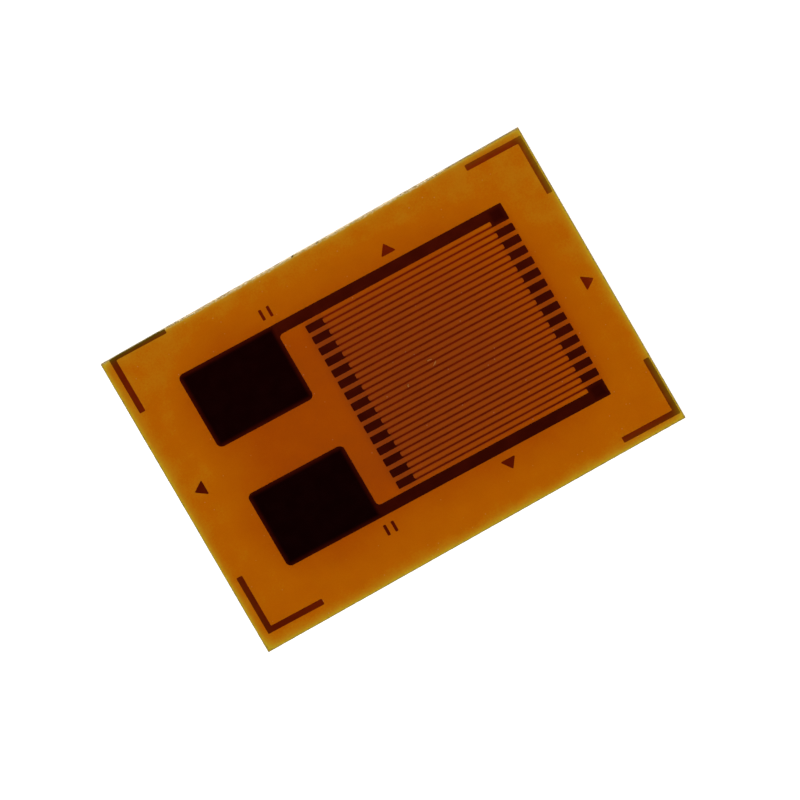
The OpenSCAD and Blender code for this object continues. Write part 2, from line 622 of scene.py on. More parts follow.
@dataclass(frozen=True)
class AmberFinish(Finish):
    """Amber resin film that lets through part of the light.

    Its colour goes with the depth that the film's mesh holds: -2 at the very edge of a cut, painted shade
    of the cut wall, -1 beside it, painted light where light gets in from the side, 0 in the open, 1 beside a
    solder tab, 2 between the grid lines and 3 in the darkest of those gaps, painted shade where the foil
    keeps light from the ground.

    Attributes:
        lines: Stretch of the grid between its loops.
        pitch: Distance from grid line to grid line.
        line_shade: Depth of colour that goes up and down with the distance from a line.
        line_soft: How far from the loops the full shade is reached.
        depths: Depths that have a colour of their own.
        colours: Those colours.
        cream: Colour of torn resin and of the painted highlight along the upper cut.
        through: Share of the light that goes through the film.
        index: Refractive index of the resin.
        gloss: Strength of the reflections off its skin.
        roughness: Lowest and highest roughness of the skin.
        skin_size: Size of the bumps in the skin.
        skin_depth: Depth of those bumps.
        cloud_size: Size of cloudy patches.
        cloud_gain: How far they shift the depth of colour.
        mottle_size: Size of the fine mottle.
        mottle_gain: How far it shifts the depth of colour.
        fleck_gap: Spacing of the pale flecks in the resin.
        fleck_r: Radius of a fleck.
        fleck_share: How much of the torn resin's colour a fleck has.
        edge_shade: Colour of the dark patches of painted shade at the very edge of a cut.
        edge_shade_size: Size of those patches.
        edge_shade_noise: Noise that a patch begins at, and that it is full at.
        edge_shade_share: How much of its own colour a full patch has.
        edge_shade_depths: Depths of colour that the patches fade out between, away from an edge.
        fray_size: Size of the frayed patches of the pale strip, torn resin that is partly a painted
            highlight.
        fray_noise: Noise that a frayed patch begins at, and that it is full at.
        fray_share: How much of the pale strip's colour shows outside and inside a frayed patch.
    """

    lines: FoilPart
    pitch: float
    line_shade: float = 0.4
    line_soft: float = 0.04 * MM
    # Painted light and shade by depth: shade at the very edge of a cut, light beside it, deeper shade near
    # the foil.
    depths: tuple[float, ...] = (-2.0, -1.0, 0.0, 1.0, 2.0, 3.0)
    colours: tuple[Colour, ...] = (
        (0.34, 0.225, 0.0320),
        (0.61, 0.425, 0.0190),
        (0.548, 0.150, 0.0003),
        (0.448, 0.084, 0.0003),
        (0.325, 0.0560, 0.0050),
        (0.253, 0.0385, 0.0048),
    )
    cream: Colour = (0.97, 0.80, 0.50)
    through: float = 0.45
    index: float = 1.25
    gloss: float = 0.1
    roughness: Span = (0.13, 0.19)
    skin_size: float = 12.0 * MICRON
    skin_depth: float = 0.3 * MICRON
    cloud_size: float = 0.35 * MM
    cloud_gain: float = 0.5
    mottle_size: float = 0.03 * MM
    mottle_gain: float = 0.35
    fleck_gap: float = 0.17 * MM
    fleck_r: float = 14.0 * MICRON
    fleck_share: float = 0.1
    edge_shade: Colour = (0.12, 0.085, 0.0080)
    edge_shade_size: float = 0.06 * MM
    edge_shade_noise: Span = (0.56, 0.63)
    edge_shade_share: float = 0.75
    edge_shade_depths: Span = (-1.6, -0.8)
    fray_size: float = 0.025 * MM
    fray_noise: Span = (0.42, 0.58)
    fray_share: Span = (0.25, 1.0)

    def beside_lines(self, recipe: Recipe) -> Socket:
        """Work out the depth of colour that the shade of the grid's lines gives the gaps between them.

        It goes with the cosine of the place across the grid, one turn to a pitch: deepest at a line, and
        least midway between two. The gap's own mean of that cosine is taken off, so that its mean depth
        stays.

        Args:
            recipe: The material's recipe.

        Returns:
            The depth's socket.
        """
        gap_mean = 0.354
        across = recipe.node("ShaderNodeSeparateXYZ", {0: recipe.place()}).outputs[1]
        wave = recipe.maths("COSINE", recipe.maths("MULTIPLY", across, 2.0 * math.pi / self.pitch))
        shade = recipe.maths("MULTIPLY", recipe.maths("SUBTRACT", gap_mean, wave), self.line_shade)
        return recipe.maths("MULTIPLY", shade, recipe.inside(self.lines, self.line_soft))

    def amber(self, recipe: Recipe, mottle: Socket) -> Socket:
        """Work out the amber colour from the depth that the mesh holds, clouded and mottled.

        Args:
            recipe: The material's recipe.
            mottle: Fine noise from 0 to 1.

        Returns:
            The colour's socket.
        """
        low, high = self.depths[0], self.depths[-1]
        depth = recipe.shift(recipe.value("depth"), recipe.grain(self.cloud_size), self.cloud_gain)
        depth = recipe.maths("ADD", recipe.shift(depth, mottle, self.mottle_gain), self.beside_lines(recipe))
        share = recipe.maths("DIVIDE", recipe.maths("SUBTRACT", depth, low), high - low)
        return recipe.ramp(share, [((d - low) / (high - low), c) for d, c in zip(self.depths, self.colours)])

    def material(self) -> bpy.types.Material:
        """Make the film's material: depth of colour, pale flecks, the cuts and a satin skin.

        The depth of colour holds painted light and shade, the pale strip along the torn upper cut is partly a
        painted highlight, and the dark patches at the very edges of the cuts are painted shade.

        Returns:
            The material.
        """
        layers, skin_noise = 2.0, (0.2, 0.8)
        recipe = Recipe("amber_film")
        mottle = recipe.grain(self.mottle_size, layers)
        skin = recipe.grain(self.skin_size, layers)
        fleck = recipe.maths("MULTIPLY", recipe.specks(self.fleck_gap, self.fleck_r), self.fleck_share)
        flecked = recipe.mix(fleck, self.amber(recipe, mottle), self.cream)
        frayed = recipe.spread(recipe.grain(self.fray_size, layers), self.fray_noise, self.fray_share)
        # Pale torn resin along the upper cut, partly a painted highlight of the cut's edge.
        torn = recipe.mix(recipe.maths("MULTIPLY", recipe.value("torn"), frayed), flecked, self.cream)
        # Painted shade at the very edge of a cut, broken into dark patches.
        at_edge = recipe.spread(recipe.value("depth"), self.edge_shade_depths, (1.0, 0.0))
        edge_shaded = recipe.spread(recipe.grain(self.edge_shade_size), self.edge_shade_noise, (0.0, self.edge_shade_share))
        return recipe.surface({
            "Base Color": recipe.mix(recipe.maths("MULTIPLY", edge_shaded, at_edge), torn, self.edge_shade),
            "Roughness": recipe.spread(skin, skin_noise, self.roughness),
            "Normal": recipe.bump(skin, self.skin_depth),
            "IOR": self.index,
            "Specular IOR Level": self.gloss,
            "Transmission Weight": self.through,
        })


@dataclass(frozen=True)
class Patch:
    """A rectangle of the foil, and its mirror image across the grid, with a colour of its own.

    Attributes:
        part: The rectangle.
        colour: Its colour.
        soft: How far inside its edges that colour is reached.
    """

    part: FoilPart
    colour: Colour
    soft: float


@dataclass(frozen=True)
class FoilFinish(Finish):
    """Dark, tarnished alloy foil with the fine lines of the rolling mill along X.

    Attributes:
        name: Name of the material.
        metal: Colour of the foil.
        patches: Parts with a colour of their own.
        cuts: Cuts of the film that light gets in from.
        at_cut: The foil's colour at such a cut: painted light that gets in from the cut.
        cut_w: Distance over which that colour falls off.
        metallic: Share of bare metal in the surface.
        gloss: Strength of the reflections off the tarnish.
        roughness: Lowest and highest roughness.
        rolling_size: Length, width and height of the rolling lines' streaks.
        rolling_depth: Depth of those lines.
        tarnish_size: Size of the patches of tarnish.
        tarnish_range: Lowest and highest brightness that lines and tarnish give the colour.
        lean: How much brighter the foil gets along X and Y, as a share for each metre: painted light that
            grows towards the far end and the upper side.
    """

    name: str
    metal: Colour
    patches: tuple[Patch, ...] = ()
    cuts: tuple[Side, ...] = ()
    at_cut: Colour = (0.40, 0.260, 0.0075)
    cut_w: float = 0.058 * MM
    metallic: float = 0.6
    gloss: float = 0.06
    roughness: Span = (0.22, 0.27)
    rolling_size: tuple[float, float, float] = (1.6 * MM, 0.008 * MM, 1.0 * MM)
    rolling_depth: float = 0.25 * MICRON
    tarnish_size: float = 0.22 * MM
    tarnish_range: Span = (0.88, 1.12)
    lean: Span = (0.035 / MM, 0.055 / MM)

    def near_cuts(self, recipe: Recipe) -> Socket:
        """Work out how near a place is to the cuts: a sum of exponentials of the distances, at most 1.

        Args:
            recipe: The material's recipe.

        Returns:
            The nearness's socket.
        """
        near = 0.0
        for cut in self.cuts:
            feeds = {0: recipe.place(), 1: (*cut.outward, 0.0)}
            run = recipe.node("ShaderNodeVectorMath", feeds, operation="DOT_PRODUCT").outputs["Value"]
            inward = recipe.maths("SUBTRACT", run, cut.reach)
            nearness = recipe.maths("EXPONENT", recipe.maths("DIVIDE", inward, self.cut_w))
            near = recipe.maths("ADD", nearness, near)
        return recipe.maths("MINIMUM", near, 1.0)

    def shade(self, recipe: Recipe, rolling: Socket, tarnish: Socket) -> Socket:
        """Work out the brightness of the colour: rolling lines and tarnish, with painted light leaning along
        X and Y.

        Args:
            recipe: The material's recipe.
            rolling: Noise of the rolling lines, from 0 to 1.
            tarnish: Noise of the tarnish, from 0 to 1.

        Returns:
            The brightness's socket.
        """
        noise = (0.3, 0.7)
        uneven = recipe.maths("MULTIPLY", recipe.maths("ADD", rolling, tarnish), 0.5)
        shade = recipe.spread(uneven, noise, self.tarnish_range)
        place = recipe.node("ShaderNodeSeparateXYZ", {0: recipe.place()})
        # Painted light: brighter towards the far end and the upper side.
        along = recipe.maths("MULTIPLY", place.outputs[0], self.lean[0])
        across = recipe.maths("MULTIPLY", place.outputs[1], self.lean[1])
        leaning = recipe.maths("ADD", recipe.maths("ADD", along, across), 1.0)
        return recipe.maths("MULTIPLY", shade, leaning)

    def material(self) -> bpy.types.Material:
        """Make the foil's material: the metal's colour, the patches' own, rolling lines and tarnish.

        Returns:
            The material.
        """
        noise = (0.25, 0.75)
        recipe = Recipe(self.name)
        rolling = recipe.grain(self.rolling_size)
        tarnish = recipe.grain(self.tarnish_size)
        colour = recipe.mix(self.near_cuts(recipe), self.metal, self.at_cut)
        for patch in self.patches:
            colour = recipe.mix(recipe.inside(patch.part, patch.soft), colour, patch.colour)
        shade = self.shade(recipe, rolling, tarnish)
        toned = recipe.node("ShaderNodeVectorMath", {0: colour, 1: shade}, operation="MULTIPLY").outputs[0]
        return recipe.surface({
            "Base Color": toned,
            "Metallic": self.metallic,
            "Roughness": recipe.spread(tarnish, noise, self.roughness),
            "Specular IOR Level": self.gloss,
            "Normal": recipe.bump(rolling, self.rolling_depth),
        })


@dataclass(frozen=True)
class DustFinish(Finish):
    """Dry lint, dust or torn resin in two tones.

    Attributes:
        name: Name of the material.
        colour: Its colour.
        dark: Colour of its darker patches.
        patch_size: Size of those patches.
        patch_depth: Height that they vary by.
        roughness: Roughness of the surface.
        gloss: Strength of its reflections.
    """

    name: str
    colour: Colour
    dark: Colour
    patch_size: float = 20.0 * MICRON
    patch_depth: float = 1.0 * MICRON
    roughness: float = 0.85
    gloss: float = 0.05

    def material(self) -> bpy.types.Material:
        """Make the dust's material: two tones in small patches, with a dry surface.

        Returns:
            The material.
        """
        noise = (0.35, 0.65)
        recipe = Recipe(self.name)
        patches = recipe.grain(self.patch_size)
        share = recipe.spread(patches, noise, (0.0, 1.0))
        return recipe.surface({
            "Base Color": recipe.mix(share, self.colour, self.dark),
            "Roughness": self.roughness,
            "Specular IOR Level": self.gloss,
            "Normal": recipe.bump(patches, self.patch_depth),
        })


@dataclass
class CarrierFilm:
    """The knife-cut film: a sheet between four cut sides, with its ragged edges, lips and depth of colour.

    Attributes:
        finish: Finish of the film.
        foil: Plan of the foil that it carries.
        columns: Number of grid points along X.
        rows: Number of grid points across.
        edge_dense: How much closer the grid points lie at the sides than in the middle, from 0 to 1.
        ragged: How far the upper edge of a cut strays inwards.
        torn_ragged: How far it strays where the upper cut is torn.
        under_share: Share of that straying that the lower edge of a cut has.
        wall_rows: Number of rows of points on a cut wall, between its edges.
        wall_rough: How far a cut wall is rough, as a share of its slant.
        lip_h: Height of the lip that the knife raises along a cut.
        lip_w: Width of that lip.
        wave_h: Height of the film's own unevenness.
        wave_l: Length of its waves.
        edge_shade_w: Width of the strip of painted shade at the very edge of a cut.
        glow_w: Width of the strip along each cut that light gets into.
        torn_w: Width of the pale strip along the upper cut: torn resin, partly a painted highlight.
        torn_l: Length along the cut over which the tear comes and goes.
        torn_stretch: Where the tear begins and ends, as shares of the cut's length.
        torn_fade: Share of the cut's length over which it begins and ends.
        torn_rest: Strength of the tear on the rest of the cut.
        shade_reach: How far the foil keeps light from the ground round it.
        shade_gain: Depth of colour for each share of foil round a place.
        open_share: Share of foil round a place in the open, where the depth is zero.
        loop_reach: How far the end loops darken the gaps between them past their row, as painted shade.
        loop_gain: Depth of colour added in those gaps, as painted shade.
        line_gain: Depth of colour added in the gaps between the lines as painted shade, at their tab end.
        line_rest: Share of that depth at their far end.
        lean: Depth of colour added at the lower cut and taken off at the upper one.
        outline: Outline of the solid that the film stands for.
    """

    finish: AmberFinish
    foil: FoilPlan
    columns: int = 320
    rows: int = 120
    edge_dense: float = 0.82
    ragged: float = 2.5 * MICRON
    torn_ragged: float = 36.0 * MICRON
    under_share: float = 0.15
    wall_rows: int = 4
    wall_rough: float = 0.35
    lip_h: float = 1.5 * MICRON
    lip_w: float = 12.0 * MICRON
    wave_h: float = 0.2 * MICRON
    wave_l: float = 1.1 * MM
    edge_shade_w: float = 12.0 * MICRON
    glow_w: dict[Cut, float] = field(default_factory=lambda: {
        Cut.TAB_END: 0.065 * MM, Cut.FAR_END: 0.06 * MM, Cut.LOWER: 0.09 * MM, Cut.UPPER: 0.045 * MM})
    torn_w: float = 24.0 * MICRON
    torn_l: float = 0.4 * MM
    torn_stretch: Span = (0.19, 0.80)
    torn_fade: float = 0.05
    torn_rest: float = 0.2
    shade_reach: float = 0.9 * MM
    shade_gain: float = 4.0
    open_share: float = 0.17
    loop_reach: float = 0.06 * MM
    loop_gain: float = 0.9
    line_gain: float = 0.65
    line_rest: float = 0.33
    lean: float = 0.12
    outline: Outline = field(default_factory=lambda: Outline.of_node("backing_film"))

    def spacing(self, count: int) -> np.ndarray:
        """Places from 0 to 1 that crowd towards both ends: s less a part of sin(2 pi s) / (2 pi)."""
        s = np.linspace(0.0, 1.0, count)
        return s - self.edge_dense * np.sin(2.0 * np.pi * s) / (2.0 * np.pi)

    def plan(self) -> np.ndarray:
        """Lay out places on the uncut sheet: the four corners blended by the shares of length and width.

        Returns:
            Array of columns, rows and the two coordinates.
        """
        corner = {(x, y): self.outline.corner((x, y)) for x in (-1, 1) for y in (-1, 1)}
        u = self.spacing(self.columns)[:, None, None]
        v = self.spacing(self.rows)[None, :, None]
        lower = (1 - u) * corner[-1, -1] + u * corner[1, -1]
        upper = (1 - u) * corner[-1, 1] + u * corner[1, 1]
        return (1 - v) * lower + v * upper

    def side(self, cut: Cut) -> Side:
        """Line of a cut."""
        return self.outline.side(cut.value)

    def near_cuts(self, plan: np.ndarray, width: dict[Cut, float]) -> np.ndarray:
        """Work out how near places are to the cuts: a sum of exponentials of the distances, at most 1.

        Args:
            plan: Places on the sheet.
            width: Distance over which the nearness to each cut falls off.

        Returns:
            The nearness of each place, from 0 to 1.
        """
        return np.minimum(sum(np.exp(-self.side(cut).inside(plan) / width[cut]) for cut in Cut), 1.0)

    def foil_share(self, plan: np.ndarray, parts: Sequence[FoilPart], reach: float) -> np.ndarray:
        """Sum up the foil round each place: boxes with soft sides, one for each part of the pattern.

        Args:
            plan: Places on the sheet.
            parts: Parts of the pattern.
            reach: How far a box's sides are spread.

        Returns:
            The share of foil at each place.
        """
        x, y = plan[..., 0], plan[..., 1]
        share = np.zeros_like(x)
        for part in parts:
            along = soft_step(x - part.x0, reach) - soft_step(x - part.x1, reach)
            across = soft_step(y - part.y0, reach) - soft_step(y - part.y1, reach)
            share += part.share * along * across
        return share

    def between_foil(self, plan: np.ndarray) -> np.ndarray:
        """Work out the depth of colour added in the gaps between the end loops and between the lines.

        It is painted shade, where the foil keeps light from the ground. Between the lines it falls off as a
        parabola, from the tab end to a share of it at the far end.

        Args:
            plan: Places on the sheet.

        Returns:
            The depth added at each place.
        """
        lines = self.foil.lines()
        fall = np.clip((lines.x1 - plan[..., 0]) / (lines.x1 - lines.x0), 0.0, 1.0) ** 2
        gain = self.line_gain * (self.line_rest + (1.0 - self.line_rest) * fall)
        in_loops = self.foil_share(plan, self.foil.loops(), self.loop_reach)
        in_lines = self.foil_share(plan, (lines,), self.loop_reach)
        return self.loop_gain * in_loops + gain * in_lines

    def depth(self, plan: np.ndarray) -> np.ndarray:
        """Work out the depth of the amber colour at each place.

        The depth rises with the share of foil round a place, and once more in the gaps of the grid: painted
        shade where the foil keeps light from the ground. It leans a little from the upper to the lower cut.
        Along the cuts it falls to -1 in the strip that light gets into, painted light, and to -2 at the very
        edge, painted shade of the cut wall.

        Args:
            plan: Places on the sheet.

        Returns:
            The depth at each place.
        """
        share = self.foil_share(plan, self.foil.parts(), self.shade_reach)
        depth = self.shade_gain * np.maximum(share - self.open_share, 0.0)
        depth += self.between_foil(plan)
        depth -= self.lean * plan[..., 1] / np.abs(plan[..., 1]).max()
        glow = self.near_cuts(plan, self.glow_w)
        # Painted light along the cuts, and painted shade at their very edge.
        return depth * (1.0 - glow) - glow - self.near_cuts(plan, dict.fromkeys(Cut, self.edge_shade_w))

    def tear(self, x: np.ndarray) -> np.ndarray:
        """Work out the strength of the tear along the upper cut: 1 along its stretch, falling at both ends.

        Args:
            x: Places along X.

        Returns:
            The strength at each place.
        """
        start, end = self.outline.corner((-1, 1))[0], self.outline.corner((1, 1))[0]
        share = (x - start) / (end - start)
        first, last = self.torn_stretch
        inside = soft_step(share - first, self.torn_fade) - soft_step(share - last, self.torn_fade)
        return self.torn_rest + (1.0 - self.torn_rest) * inside

    def torn(self, plan: np.ndarray) -> np.ndarray:
        """Work out the share of torn, pale resin, which is partly a painted highlight: a bell curve away from
        the upper cut, uneven along it.

        Args:
            plan: Places on the sheet.

        Returns:
            The share at each place.
        """
        mean, vary = 0.85, 0.4
        varied = mean + vary * ripple(plan[..., 0], plan[..., 1], self.torn_l, seed=11)
        far = self.side(Cut.UPPER).inside(plan)
        return np.clip(varied * self.tear(plan[..., 0]) * np.exp(-((far / self.torn_w) ** 2)), 0.0, 1.0)

    def upper_face(self, plan: np.ndarray) -> np.ndarray:
        """Work out the upper face of the cut sheet.

        Each cut side strays inwards by its own unevenness, which fades out over a few lips' widths. Along the
        cuts the face rises to a lip by an exponential of the distance.

        Args:
            plan: Places on the uncut sheet.

        Returns:
            Points of the face: columns, rows and three coordinates.
        """
        jagged_l, wander_l, fade_w = 0.09 * MM, 0.6 * MM, 4.0 * self.lip_w
        mean, vary = 0.5, 0.25
        x, y = plan[..., 0], plan[..., 1]
        moved = plan.copy()
        height = self.outline.high + self.wave_h * ripple(x, y, self.wave_l, seed=3)
        for seed, cut in enumerate(Cut, start=21):
            far = self.side(cut).inside(plan)
            tear = self.tear(x) if cut is Cut.UPPER else 0.0
            stray = self.ragged + (self.torn_ragged - self.ragged) * tear
            rough = mean + vary * (ripple(x, y, jagged_l, seed) + ripple(x, y, wander_l, seed + 10))
            inward = stray * np.clip(rough, 0.0, 1.0) * np.exp(-far / fade_w)
            moved -= inward[..., None] * np.asarray(cut.value)
            height = height + self.lip_h * np.exp(-far / self.lip_w)
        return np.concatenate((moved, height[..., None]), axis=-1)

    def under_face(self, plan: np.ndarray, upper: np.ndarray) -> np.ndarray:
        """Work out the underside: flat, with a share of the upper face's straying.

        Args:
            plan: Places on the uncut sheet.
            upper: Points of the upper face.

        Returns:
            Points of the underside: columns, rows and three coordinates.
        """
        moved = plan + self.under_share * (upper[..., :2] - plan)
        return np.concatenate((moved, np.full((*plan.shape[:2], 1), self.outline.low)), axis=-1)

    def cut_wall(self, under: np.ndarray, upper: np.ndarray) -> np.ndarray:
        """Work out the rows of points on the cut wall between its lower and its upper edge.

        A row's points lie a share of the way up. Their share of the way inwards is the same, made rough.

        Args:
            under: Points round the lower edge.
            upper: Points round the upper edge.

        Returns:
            The rows from the lowest one up.
        """
        rough_l = 0.03 * MM
        rise = np.linspace(0.0, 1.0, self.wall_rows + 2)[1:-1, None]
        rough = ripple(upper[:, 0] + rough_l * rise, upper[:, 1] + rough_l * rise, rough_l, seed=31)
        inward = rise + self.wall_rough * rough
        share = np.stack((inward, inward, rise + 0.0 * inward), axis=-1)
        return under + share * (upper - under)

    def build(self) -> bpy.types.Object:
        """Make the sheet: its upper face, its underside, and the rows of the cut wall between them.

        Returns:
            The finished sheet.
        """
        plan = self.plan()
        upper = self.upper_face(plan)
        under = self.under_face(plan, upper).reshape(-1, 3)
        upper = upper.reshape(-1, 3)
        number = np.arange(len(upper)).reshape(self.columns, self.rows)
        face = np.stack((number[:-1, :-1], number[1:, :-1], number[1:, 1:], number[:-1, 1:]), axis=-1)
        face = face.reshape(-1, 4)
        border = np.concatenate((number[:-1, 0], number[-1, :-1], number[:0:-1, -1], number[0, :0:-1]))
        wall = self.cut_wall(under[border], upper[border])
        row = np.arange(self.wall_rows * len(border)).reshape(wall.shape[:2]) + 2 * len(upper)
        row = np.concatenate((border[None] + len(upper), row, border[None]))
        after = np.roll(row, -1, axis=1)
        wall_face = np.stack((row[:-1], after[:-1], after[1:], row[1:]), axis=-1).reshape(-1, 4)
        points = np.concatenate((upper, under, wall.reshape(-1, 3)))
        sheet = mesh_piece("carrier_sheet", points, (face, face[:, ::-1] + len(upper), wall_face))
        smooth(sheet, 2 * len(face))
        for name, value in (("depth", self.depth(plan).ravel()), ("torn", self.torn(plan).ravel())):
            hold(sheet, name, np.concatenate((value, value, np.tile(value[border], self.wall_rows))))
        dress(sheet, self.finish.material(), Slot.FILM, "backing_film")
        return sheet


@dataclass
class TornWall:
    """The crust of torn, pale resin on the wall of the upper cut; its pale colour is partly a painted
    highlight.

    Attributes:
        film: The film that it is on.
        finish: Finish of the crust.
        thick: Middle thickness of the crust, out of the wall, where the cut is torn.
        sunk: How far behind the wall its middle lies.
        thread: Thickness of what is left of it where it breaks off, inside the film.
        cover: Share of the wall's height that it covers.
        rings: Number of sections along the cut.
        around: Number of points round a section.
    """

    film: CarrierFilm
    finish: DustFinish
    thick: float = 8.0 * MICRON
    sunk: float = 2.0 * MICRON
    thread: float = 0.8 * MICRON
    cover: float = 0.9
    rings: int = 1500
    around: int = 10

    def wall(self, x: np.ndarray) -> tuple[np.ndarray, np.ndarray]:
        """Follow the lower and the upper edge of the cut wall.

        Args:
            x: Places along X.

        Returns:
            The two edges, with one row of y and z for each place.
        """
        plan = self.film.plan()
        upper = self.film.upper_face(plan)
        foot, top = self.film.under_face(plan, upper)[:, -1], upper[:, -1]
        foot_y, top_y = np.interp(x, foot[:, 0], foot[:, 1]), np.interp(x, top[:, 0], top[:, 1])
        foot_z, top_z = np.interp(x, foot[:, 0], foot[:, 2]), np.interp(x, top[:, 0], top[:, 2])
        return np.stack((foot_y, foot_z), axis=-1), np.stack((top_y, top_z), axis=-1)

    def thickness(self, x: np.ndarray) -> np.ndarray:
        """Work out the crust's thickness along the cut: long and short unevenness, times the tear's strength.

        Args:
            x: Places along X.

        Returns:
            The thickness at each place, nowhere under that of a thread.
        """
        long_l, short_l = 0.35 * MM, 0.045 * MM
        mean, vary = 0.6, 0.4
        still = np.zeros_like(x)
        uneven = mean + vary * (ripple(x, still, long_l, seed=41) + ripple(x, still, short_l, seed=42))
        return np.maximum(self.thick * uneven * self.film.tear(x), self.thread)

    def build(self) -> bpy.types.Object:
        """Make the crust: a flat, lumpy oval carried along the cut wall.

        The oval's middle lies a little behind the middle of the wall. One half axis runs up the wall, over a
        share of its height, and the other one out of it, as far as the crust is thick.

        Returns:
            The finished crust.
        """
        lump_l, lump_share, end_gap = 12.0 * MICRON, 0.35, 0.03 * MM
        first, last = (self.film.outline.corner((end, 1))[0] - end * end_gap for end in (-1, 1))
        x = np.linspace(first, last, self.rings)
        foot, top = self.wall(x)
        up = self.cover * (top - foot) / 2.0
        out = np.stack((up[:, 1], -up[:, 0]), axis=-1) / np.linalg.norm(up, axis=1, keepdims=True)
        middle = (foot + top) / 2.0 - self.sunk * out
        angle = np.linspace(0.0, 2.0 * np.pi, self.around, endpoint=False)[None, :]
        wide = x[:, None] + 0.0 * angle
        lumps = ripple(wide + lump_l * np.sin(angle), wide + lump_l * np.cos(angle), 3.0 * lump_l, seed=43)
        reach = self.thickness(x)[:, None] * (1.0 + lump_share * lumps) * np.cos(angle)
        section = middle[:, None] + reach[..., None] * out[:, None] + np.sin(angle)[..., None] * up[:, None]
        points = np.concatenate((wide[..., None], section), axis=-1).reshape(-1, 3)
        crust = mesh_piece("torn_crust", points, tube_faces(self.rings, self.around))
        smooth(crust)
        dress(crust, self.finish.material(), Slot.FILM)
        return crust


@dataclass
class EtchedPiece:
    """A flat piece of foil etched to an outline, set a little into the film.

    Attributes:
        node: Name of the solid that it stands for.
        name: Name of the piece.
        slot: Slot of the record that its finish belongs to.
        corner_r: Radius that etching leaves at a corner.
        sunk: How deep the foot sits in the film.
        section: Section of an etched wall, from its foot up: pairs of inset, and share of the foil's height.
    """

    node: str
    name: str
    slot: Slot
    corner_r: float = 18.0 * MICRON
    sunk: float = 0.8 * MICRON
    section: tuple[Span, ...] = (
        (0.0, 0.0), (0.4 * MICRON, 0.4), (1.0 * MICRON, 0.75), (1.8 * MICRON, 0.93), (3.0 * MICRON, 1.0))

    def build(self, material: bpy.types.Material) -> bpy.types.Object:
        """Make the piece: the wall's section carried round the outline, closed by a cap above and below.

        A point of the wall is the outline's point, moved inwards by the section's inset and up by its height.

        Args:
            material: Material of the foil.

        Returns:
            The finished piece.
        """
        outline = Outline.of_node(self.node).rounded(self.corner_r)
        inset, rise = np.asarray(self.section).T
        plan = outline.points[None] + inset[:, None, None] * outline.inward()[None]
        foot = outline.low - self.sunk
        height = foot + rise * (outline.high - foot)
        heights = np.broadcast_to(height[:, None, None], (*plan.shape[:2], 1))
        points = np.concatenate((plan, heights), axis=-1)
        piece = mesh_piece(self.name, points.reshape(-1, 3), tube_faces(len(inset), len(outline.points)))
        dress(piece, material, self.slot, self.node)
        return piece


@dataclass
class FoilLayer:
    """All the etched foil on the film: the resistor and the islands that mark its axes, tabs and corners.

    Attributes:
        resistor: Finish of the measuring foil.
        marks: Finishes of the marks, by the beginnings of their names.
    """

    resistor: FoilFinish
    marks: dict[str, FoilFinish]

    def build(self) -> list[bpy.types.Object]:
        """Make the resistor, and then each mark, in the order of their names.

        Returns:
            The finished pieces.
        """
        resistor = EtchedPiece("measuring_foil", "etched_resistor", Slot.RESISTOR)
        made = [resistor.build(self.resistor.material())]
        materials = {finish: finish.material() for finish in dict.fromkeys(self.marks.values())}
        for names, finish in self.marks.items():
            nodes = sorted(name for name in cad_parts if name.startswith(names))
            pieces = (EtchedPiece(node, f"etched_{node}", Slot.MARK) for node in nodes)
            made += [piece.build(materials[finish]) for piece in pieces]
        return made


@dataclass(frozen=True)
class Sliver:
    """A tapering sliver of lint or resin that lies on the gauge.

    Attributes:
        middle: Place of its middle, seen from above.
        rest: Height that it rests at.
        heading: Direction that it lies in, in degrees from X.
        length: Its length.
        width: Its width in the middle.
        bend: How far its middle bows out sideways.
        flat: Its height as a share of its width.
    """

    middle: Span
    rest: float
    heading: float
    length: float
    width: float
    bend: float = 0.0
    flat: float = 0.4

    def points(self, rings: int, around: int) -> np.ndarray:
        """Work out the points: an oval section carried along a bowed path, swelling and tapering as a sine.

        Args:
            rings: Number of sections along the path.
            around: Number of points round a section.

        Returns:
            One row of x, y and z for each point, section after section.
        """
        first, last, blunt = 0.02, 0.98, 0.7
        s = np.linspace(first, last, rings)[:, None]
        angle = np.linspace(0.0, 2.0 * np.pi, around, endpoint=False)[None, :]
        swell = np.sin(np.pi * s) ** blunt * self.width / 2.0
        turn = math.radians(self.heading)
        along = (s - 0.5) * self.length + 0.0 * angle
        aside = self.bend * np.sin(np.pi * s) + swell * np.cos(angle)
        x = self.middle[0] + along * math.cos(turn) - aside * math.sin(turn)
        y = self.middle[1] + along * math.sin(turn) + aside * math.cos(turn)
        z = self.rest + self.flat * (swell.max() + swell * np.sin(angle))
        return np.stack((x, y, z), axis=-1).reshape(-1, 3)


@dataclass
class Specks:
    """Slivers of one kind of dust, made as one piece.

    Attributes:
        name: Name of the piece.
        slivers: The slivers.
        finish: Their finish.
        rings: Sections along a sliver.
        around: Points round a section.
    """

    name: str
    slivers: tuple[Sliver, ...]
    finish: DustFinish
    rings: int = 13
    around: int = 10

    def build(self) -> bpy.types.Object:
        """Make the slivers, each closed by a cap at both ends.

        Returns:
            The finished piece.
        """
        count = self.rings * self.around
        tubes = [tube_faces(self.rings, self.around, count * i) for i in range(len(self.slivers))]
        points = np.concatenate([sliver.points(self.rings, self.around) for sliver in self.slivers])
        piece = mesh_piece(self.name, points, tuple(chain.from_iterable(tubes)))
        smooth(piece)
        dress(piece, self.finish.material(), Slot.FILM)
        return piece


